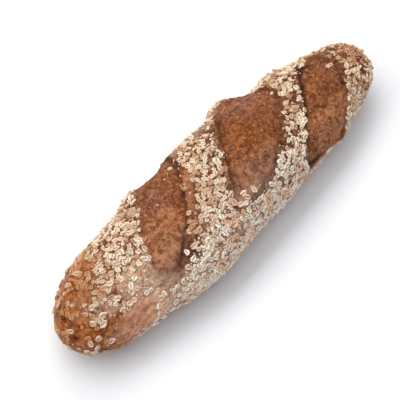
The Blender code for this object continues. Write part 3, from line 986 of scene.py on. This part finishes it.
def crust_material():
    """Wholegrain crust, browned dry in the oven: matt and speckled with bran where it tore open, floured
    between the slashes, and glossier and more orange at the left tip, which the oven caught most."""
    material, tree, shader = new_material("baked_wholegrain_crust")
    patterns = find_patterns(
        tree,
        (
            Noise("broad", 14 * MM, 1.3, 3, 0.55),  # blotches of the bake
            Noise("mottle", 3.4 * MM, 2.9, 4, 0.7),  # pores and blisters
            Noise("bran", 1.6 * MM, 4.4, 2, 0.6),  # flecks of bran
            Noise("grain", 0.8 * MM, 6.2, 2, 0.55),  # the grain of the meal
            Noise("tears", 2.4 * MM, 7.5, 3, 0.65),  # strands of torn dough
        ),
        ("opened", "burnt_edge_and_shade", "flour", "browned_tip", "bake_and_shade", "strands_and_highlight", "smooth_crust", "dull", "underside"),
    )
    # The flour lies in specks, where its share and the fine patterns together are high
    powder = add_node(tree, "ShaderNodeMix", {0: 0.5, 2: patterns["mottle"], 3: patterns["bran"]})
    dusted = add_node(
        tree,
        "ShaderNodeMath",
        {0: powder.outputs[0], 1: 2.0, 2: patterns["flour"]},
        operation="MULTIPLY_ADD",
    )
    patterns["dusted"] = dusted.outputs[0]
    # The pale strands lie in their zones, which hold painted light as well
    streaks = add_node(
        tree, "ShaderNodeMath", {0: patterns["tears"], 1: patterns["strands_and_highlight"]}, operation="MULTIPLY"
    )
    patterns["streaks"] = streaks.outputs[0]
    frayed = add_node(
        tree, "ShaderNodeMath", {0: patterns["tears"], 1: patterns["smooth_crust"]}, operation="ADD"
    )
    patterns["frayed_strip"] = frayed.outputs[0]
    colour = lay_colours(
        tree,
        patterns,
        (
            Layer("pale crumb", "#683E32", "mottle", 0.38, 0.62, 1.0, "#A06A52"),
            Layer("rich crumb", "#5A2C04", "mottle", 0.38, 0.62, 1.0, "#9C5208"),
            # The bake mix also carries painted shade and a painted reflection
            Layer("crumb", "pale crumb", "bake_and_shade", 0.0, 1.0, 1.0, "rich crumb"),
            Layer("crumb", "crumb", "broad", 0.4, 0.65, 0.5, "#7A3E20"),
            # Pale strands of dough, partly painted light
            Layer("crumb", "crumb", "streaks", 0.42, 0.66, 0.7, "#CF8A5A"),
            Layer("crumb", "crumb", "bran", 0.54, 0.68, 0.85, "#421C0C"),
            Layer("crumb", "crumb", "bran", 0.45, 0.32, 0.7, "#C88C5C"),
            # The crust between the flakes, darkened in part as painted shade in the gaps between them
            Layer("skin", "#381A0A", "mottle", 0.36, 0.66, 1.0, "#824824"),
            Layer("bare skin", "#A66036", "mottle", 0.36, 0.66, 1.0, "#FAC49C"),
            Layer("bare skin", "bare skin", "broad", 0.42, 0.62, 0.7, "#CC8468"),
            Layer("skin", "skin", "frayed_strip", 0.7, 1.1, 1.0, "bare skin"),
            Layer("tip", "#4A1E08", "mottle", 0.37, 0.64, 1.0, "#B86A32"),
            Layer("tip", "tip", "broad", 0.52, 0.66, 0.5, "#B06E42"),
            Layer("skin", "skin", "browned_tip", 0.0, 1.0, 1.0, "tip"),
            Layer("base", "#90603E", "mottle", 0.3, 0.7, 1.0, "#C4946C"),
            Layer("base", "base", "broad", 0.44, 0.62, 0.5, "#7A4A2C"),
            Layer("base", "base", "bran", 0.56, 0.7, 0.6, "#522C16"),
            Layer("skin", "skin", "underside", 0.0, 1.0, 1.0, "base"),
            Layer("crust", "skin", "opened", 0.0, 1.0, 1.0, "crumb"),
            Layer("crust", "crust", "dusted", 1.1, 1.8, 0.8, "#E2BA9A"),
            # Burnt crust, and painted shade along the slashes' edges and in the cracks
            Layer("crust", "crust", "burnt_edge_and_shade", 0.0, 1.0, 1.0, "#35180C"),
        ),
    )
    tree.links.new(colour, shader.inputs["Base Color"])
    tree.links.new(patterns["dull"], shader.inputs["Roughness"])
    shader.inputs["IOR"].default_value = 1.45
    shader.inputs["Specular IOR Level"].default_value = 0.18
    relief = add_node(tree, "ShaderNodeMix", {0: 0.3, 2: patterns["mottle"], 3: patterns["grain"]})
    bump = add_node(
        tree, "ShaderNodeBump", {"Height": relief.outputs[0], "Strength": 0.7, "Distance": 0.6 * MM}
    )
    tree.links.new(bump.outputs[0], shader.inputs["Normal"])
    return material


def flake_material():
    """Rolled oats, toasted on the loaf: pale and dry, golden brown at its tips, darker in creases and at
    rims.
    """
    material, tree, shader = new_material("toasted_oat_flake")
    patterns = find_patterns(
        tree,
        (Noise("streaks", 1.5 * MM, 9.1, 3, 0.6), Noise("patches", 9 * MM, 3.7, 2, 0.5)),
        ("tint", "toast", "pale", "crease"),
    )
    # The palest flakes brown less than the others
    darker = add_node(tree, "ShaderNodeMapRange", {0: patterns["tint"], 1: 0.35, 2: 0.8, 3: 1.0, 4: 0.4})
    browned = add_node(
        tree, "ShaderNodeMath", {0: patterns["toast"], 1: darker.outputs[0]}, operation="MULTIPLY"
    )
    patterns["browned"] = browned.outputs[0]
    colour = lay_colours(
        tree,
        patterns,
        (
            Layer("middling", "#B67E54", "tint", 0.08, 0.6, 1.0, "#FFEECE"),
            Layer("floury", "#F0C09A", "tint", 0.08, 0.55, 1.0, "#FFF6E2"),
            Layer("flake", "middling", "pale", 0.0, 1.0, 1.0, "floury"),
            Layer("flake", "flake", "patches", 0.5, 0.7, 0.35, "#F0C0A4"),
            Layer("flake", "flake", "browned", 0.0, 1.0, 1.0, "#C48850"),
            Layer("flake", "flake", "streaks", 0.5, 0.7, 0.6, "#A87A54"),
            # Partly the oat's darker seam, and partly painted shade in the sunken crease and at the rim
            Layer("flake", "flake", "crease", 0.25, 1.0, 0.75, "#8C5A38"),
        ),
    )
    tree.links.new(colour, shader.inputs["Base Color"])
    shader.inputs["Roughness"].default_value = 0.55
    bump = add_node(
        tree, "ShaderNodeBump", {"Height": patterns["streaks"], "Strength": 0.5, "Distance": 0.4 * MM}
    )
    tree.links.new(bump.outputs[0], shader.inputs["Normal"])
    return material


def floor_material():
    """Matt white studio board."""
    material, _, shader = new_material("white_studio_board")
    shader.inputs["Base Color"].default_value = linear("#F7F7F7")
    shader.inputs["Roughness"].default_value = 0.9
    return material


def mark_chosen_places():
    """The large flakes' places as loose points, with what the scatter and the oats read stored on them."""
    spots, normals, x, turn = large_flake_places()
    chosen = mesh_object("chosen_places", list(spots), [])
    outward = chosen.data.attributes.new("outward", "FLOAT_VECTOR", "POINT")
    outward.data.foreach_set("vector", normals.ravel())
    add_values(chosen.data, "toast", toast_share(x, turn))
    add_values(chosen.data, "pale", pale_share(x, turn))
    return chosen


def dress_loaf():
    """Makes the crust, the oat flakes and their crumbs, which together take the plain loaf's place."""
    skin = fine_skin()
    grow(skin, fine_relief_tree(), {"Crust": crust_material()})
    chosen = mark_chosen_places()
    scatter = scatter_tree()
    oats = flake_material()
    pieces = [skin]
    for name, shapes, inputs in (
        (
            "oat_flakes",
            flake_shapes("flake", kinds=9, seed=21, size=FLAKE_SIZE, corners=6),
            {"Seed": 5, "Least gap": 2.35 * MM, "Smallest": 0.56, "Largest": 1.12, "Chosen places": chosen},
        ),
        (
            "flake_crumbs",
            flake_shapes("crumb", kinds=4, seed=22, size=CRUMB_SIZE, corners=4),
            {"Seed": 6, "Least gap": 1.8 * MM, "Smallest": 0.5, "Largest": 1.25, "Clear of chosen": -MM},
        ),
    ):
        flakes = bpy.data.objects.new(name, skin.data.copy())
        bpy.context.scene.collection.objects.link(flakes)
        grow(flakes, scatter, {"Shapes": shapes, "Flake": oats, **inputs})
        remove_all(shapes)
        pieces.append(flakes)
    bpy.data.objects.remove(chosen)
    for piece in pieces:
        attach(piece, "root")
        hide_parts("loaf")


def place_camera():
    """Looks down at the loaf from its front left, as the photograph does."""
    turn, rise = math.radians(CAMERA_TURN), math.radians(CAMERA_RISE)
    back = Vector((math.sin(turn) * math.cos(rise), -math.cos(turn) * math.cos(rise), math.sin(rise)))
    right = Vector((math.cos(turn), math.sin(turn), 0))
    up = back.cross(right)
    target = Vector(CAMERA_AIM) - right * AIM_LEFT - up * AIM_DOWN
    camera = bpy.data.objects.new("camera", bpy.data.cameras.new("camera"))
    camera.data.lens = CAMERA_LENS
    camera.data.sensor_width = CAMERA_SENSOR
    camera.data.clip_start = CAMERA_NEAREST
    turned = Matrix((right, up, back)).transposed().to_4x4()
    camera.matrix_world = Matrix.Translation(target + back * CAMERA_DISTANCE) @ turned
    bpy.context.scene.collection.objects.link(camera)
    bpy.context.scene.camera = camera


def soft_light(name, place, size, power, colour):
    """A lit rectangle that faces the loaf."""
    light = bpy.data.objects.new(name, bpy.data.lights.new(name, "AREA"))
    light.data.color = linear(colour)[:3]
    light.data.shape = "RECTANGLE"
    light.data.size, light.data.size_y = size
    light.data.energy = power
    light.location = place
    light.rotation_euler = (Vector(LIGHTS_AIM) - Vector(place)).to_track_quat("-Z", "Y").to_euler()
    bpy.context.scene.collection.objects.link(light)


def make_studio():
    """A white board, lit by a wide window behind it, evenly from overhead and weakly from the front."""
    reach = FLOOR_REACH
    corners = [(-reach, -reach, 0), (reach, -reach, 0), (reach, reach, 0), (-reach, reach, 0)]
    floor = mesh_object("floor", corners, [(0, 1, 2, 3)])
    floor.data.materials.append(floor_material())
    world = bpy.data.worlds.new("studio")
    world.use_nodes = True
    background = world.node_tree.nodes["Background"]
    background.inputs["Color"].default_value = linear("#F0F6FF")
    background.inputs["Strength"].default_value = 0.22
    bpy.context.scene.world = world
    soft_light("window", place=(-0.03, 0.56, 1.06), size=(3.2, 0.6), power=19.6, colour="#FFFDFA")
    overhead = bpy.data.objects.new("overhead", bpy.data.lights.new("overhead", "SUN"))
    overhead.data.energy = 1.03
    overhead.data.angle = math.radians(62)  # wide, so that the shadows under the tips are soft
    overhead.data.color = linear("#F2F7FF")[:3]
    bpy.context.scene.collection.objects.link(overhead)
    soft_light("fill", place=(0.1, -1.1, 0.55), size=(1.2, 0.6), power=2.6, colour="#E8F1FF")
    bpy.context.scene.view_settings.view_transform = "Standard"


dress_loaf()
make_studio()
place_camera()
